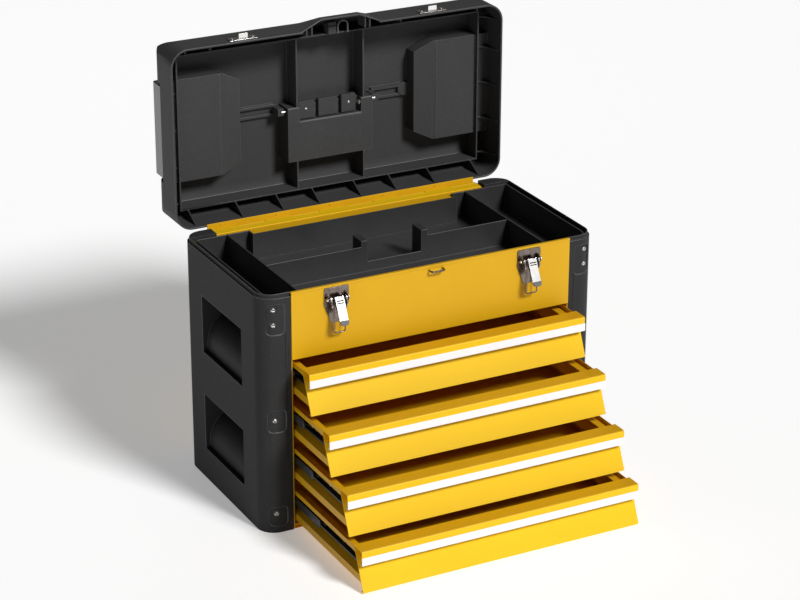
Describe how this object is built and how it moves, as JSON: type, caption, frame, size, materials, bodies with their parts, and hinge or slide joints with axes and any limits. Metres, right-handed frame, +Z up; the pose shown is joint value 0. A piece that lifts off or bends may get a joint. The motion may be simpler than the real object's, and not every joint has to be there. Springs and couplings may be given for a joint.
{
  "type": "portable tool box with drawers",
  "caption": "Portable tool chest: steel drawers on telescopic runners between moulded end panels, hinged ribbed lid with organizers and folding handle, lift-out tray, latches.",
  "frame": {"origin": "centre of the case's underside", "axes": "+X to the right as seen from the front, -Y out of the front where the drawers open, +Z up"},
  "size_m": [0.499, 0.5308, 0.602],
  "materials": {
    "black_plastic": "fine moulded grain, satin",
    "tray_plastic": "smooth satin moulding",
    "grey_cover": "frosted",
    "yellow_paint": "smooth semi-gloss powder coat",
    "white_trim": "bright satin strip",
    "bright_steel": "zinc plated",
    "black_runner": "black coated steel"
  },
  "bodies": {
    "cabinet": {"side_panel_left": "black_plastic", "side_panel_right": "black_plastic", "front_panel": "yellow_paint", "back_panel": "yellow_paint", "base_pan": "yellow_paint", "inner_wall_left": "yellow_paint", "inner_wall_right": "yellow_paint", "compartment_floor": "yellow_paint", "case_screws": "bright_steel", "outer_runners_left": "black_runner", "outer_runners_right": "black_runner", "padlock_staple": "bright_steel", "latch_plate_left": "bright_steel", "latch_plate_right": "bright_steel", "latch_pins": "bright_steel", "hinge_lower_leaf": "yellow_paint", "hinge_pin": "bright_steel"},
    "lid": {"lid_shell": "black_plastic", "hinge_upper_leaf": "yellow_paint", "lid_rivets": "bright_steel", "handle_housing": "black_plastic", "housing_screws": "bright_steel", "handle_pins": "bright_steel", "catch_left": "bright_steel", "catch_right": "bright_steel", "cover_pins": "bright_steel"},
    "handle": {"carry_handle": "black_plastic"},
    "cover_left": {"organizer_cover_left": "grey_cover"},
    "cover_right": {"organizer_cover_right": "grey_cover"},
    "lever_left": {"latch_lever_left": "bright_steel"},
    "lever_right": {"latch_lever_right": "bright_steel"},
    "loop_left": {"latch_loop_left": "bright_steel"},
    "loop_right": {"latch_loop_right": "bright_steel"},
    "tray": {"tote_tray": "tray_plastic"},
    "drawer_1": {"drawer_1_box": "yellow_paint", "drawer_1_front": "yellow_paint", "drawer_1_trim": "white_trim", "drawer_1_runners": "black_runner", "drawer_1_screws": "bright_steel"},
    "mid_runners_1": {"drawer_1_mid_runners": "black_runner"},
    "drawer_2": {"drawer_2_box": "yellow_paint", "drawer_2_front": "yellow_paint", "drawer_2_trim": "white_trim", "drawer_2_runners": "black_runner", "drawer_2_screws": "bright_steel"},
    "mid_runners_2": {"drawer_2_mid_runners": "black_runner"},
    "drawer_3": {"drawer_3_box": "yellow_paint", "drawer_3_front": "yellow_paint", "drawer_3_trim": "white_trim", "drawer_3_runners": "black_runner", "drawer_3_screws": "bright_steel"},
    "mid_runners_3": {"drawer_3_mid_runners": "black_runner"},
    "drawer_4": {"drawer_4_box": "yellow_paint", "drawer_4_front": "yellow_paint", "drawer_4_trim": "white_trim", "drawer_4_runners": "black_runner", "drawer_4_screws": "bright_steel"},
    "mid_runners_4": {"drawer_4_mid_runners": "black_runner"}
  },
  "joints": [
    {"name": "lid_hinge", "type": "hinge", "parent": "cabinet", "child": "lid", "pos_m": [0, 0.1305, 0.3305], "axis": [-1, 0, 0], "range_deg": [-90, 0]},
    {"name": "handle_pivot", "type": "hinge", "parent": "lid", "child": "handle", "pos_m": [0, 0.182, 0.4635], "axis": [1, 0, 0], "range_deg": [0, 90]},
    {"name": "cover_hinge_left", "type": "hinge", "parent": "lid", "child": "cover_left", "pos_m": [-0.1387, 0.2039, 0.461], "axis": [0, 0, -1], "range_deg": [0, 95]},
    {"name": "latch_lever_left", "type": "hinge", "parent": "cabinet", "child": "lever_left", "pos_m": [-0.142, -0.134, 0.32], "axis": [1, 0, 0], "range_deg": [-110, 0]},
    {"name": "latch_loop_left", "type": "hinge", "parent": "lever_left", "child": "loop_left", "pos_m": [-0.142, -0.13714, 0.3115], "axis": [-1, 0, 0], "range_deg": [0, 185]},
    {"name": "cover_hinge_right", "type": "hinge", "parent": "lid", "child": "cover_right", "pos_m": [0.1387, 0.2039, 0.461], "axis": [0, 0, 1], "range_deg": [0, 95]},
    {"name": "latch_lever_right", "type": "hinge", "parent": "cabinet", "child": "lever_right", "pos_m": [0.142, -0.134, 0.32], "axis": [1, 0, 0], "range_deg": [-110, 0]},
    {"name": "latch_loop_right", "type": "hinge", "parent": "lever_right", "child": "loop_right", "pos_m": [0.142, -0.13714, 0.3115], "axis": [-1, 0, 0], "range_deg": [0, 185]},
    {"name": "tray_lift", "type": "slide", "parent": "cabinet", "child": "tray", "axis": [0, 0, 1], "range_m": [0, 0.15]},
    {"name": "drawer_1_slide", "type": "slide", "parent": "cabinet", "child": "drawer_1", "axis": [0, -1, 0], "range_m": [-0.0492, 0.1658]},
    {"name": "mid_runners_1_slide", "type": "slide", "parent": "cabinet", "child": "mid_runners_1", "axis": [0, -1, 0], "range_m": [-0.0246, 0.0829]},
    {"name": "drawer_2_slide", "type": "slide", "parent": "cabinet", "child": "drawer_2", "axis": [0, -1, 0], "range_m": [-0.1052, 0.1098]},
    {"name": "mid_runners_2_slide", "type": "slide", "parent": "cabinet", "child": "mid_runners_2", "axis": [0, -1, 0], "range_m": [-0.0526, 0.0549]},
    {"name": "drawer_3_slide", "type": "slide", "parent": "cabinet", "child": "drawer_3", "axis": [0, -1, 0], "range_m": [-0.1555, 0.0595]},
    {"name": "mid_runners_3_slide", "type": "slide", "parent": "cabinet", "child": "mid_runners_3", "axis": [0, -1, 0], "range_m": [-0.07775, 0.02975]},
    {"name": "drawer_4_slide", "type": "slide", "parent": "cabinet", "child": "drawer_4", "axis": [0, -1, 0], "range_m": [-0.1946, 0.0204]},
    {"name": "mid_runners_4_slide", "type": "slide", "parent": "cabinet", "child": "mid_runners_4", "axis": [0, -1, 0], "range_m": [-0.0973, 0.0102]}
  ],
  "couplings": [
    {"joint": "mid_runners_1_slide", "follows": "drawer_1_slide", "ratio": 0.5},
    {"joint": "mid_runners_2_slide", "follows": "drawer_2_slide", "ratio": 0.5},
    {"joint": "mid_runners_3_slide", "follows": "drawer_3_slide", "ratio": 0.5},
    {"joint": "mid_runners_4_slide", "follows": "drawer_4_slide", "ratio": 0.5}
  ]
}
